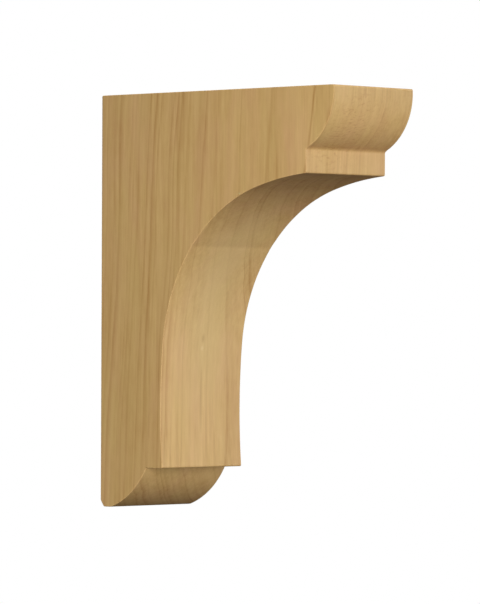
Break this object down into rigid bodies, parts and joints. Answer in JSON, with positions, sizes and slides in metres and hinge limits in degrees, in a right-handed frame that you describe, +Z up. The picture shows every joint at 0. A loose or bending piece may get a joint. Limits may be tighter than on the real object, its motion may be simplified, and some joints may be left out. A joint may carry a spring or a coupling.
{
  "type": "wooden corbel bracket",
  "caption": "Solid hardwood corbel with a rounded top moulding, a fascia and a long cove, fixed flat against a wall to carry a shelf, mantel or worktop.",
  "frame": {"origin": "middle of the flat back face, where the corbel meets the wall", "axes": "+Y into the wall, -Y out from the wall towards the front, +Z up, X across the width"},
  "size_m": [0.073, 0.206, 0.267],
  "materials": {
    "bare_hardwood": "sanded and unfinished, straight pale grain running up and down"
  },
  "bodies": {
    "root": {"corbel": "bare_hardwood"}
  },
  "joints": []
}
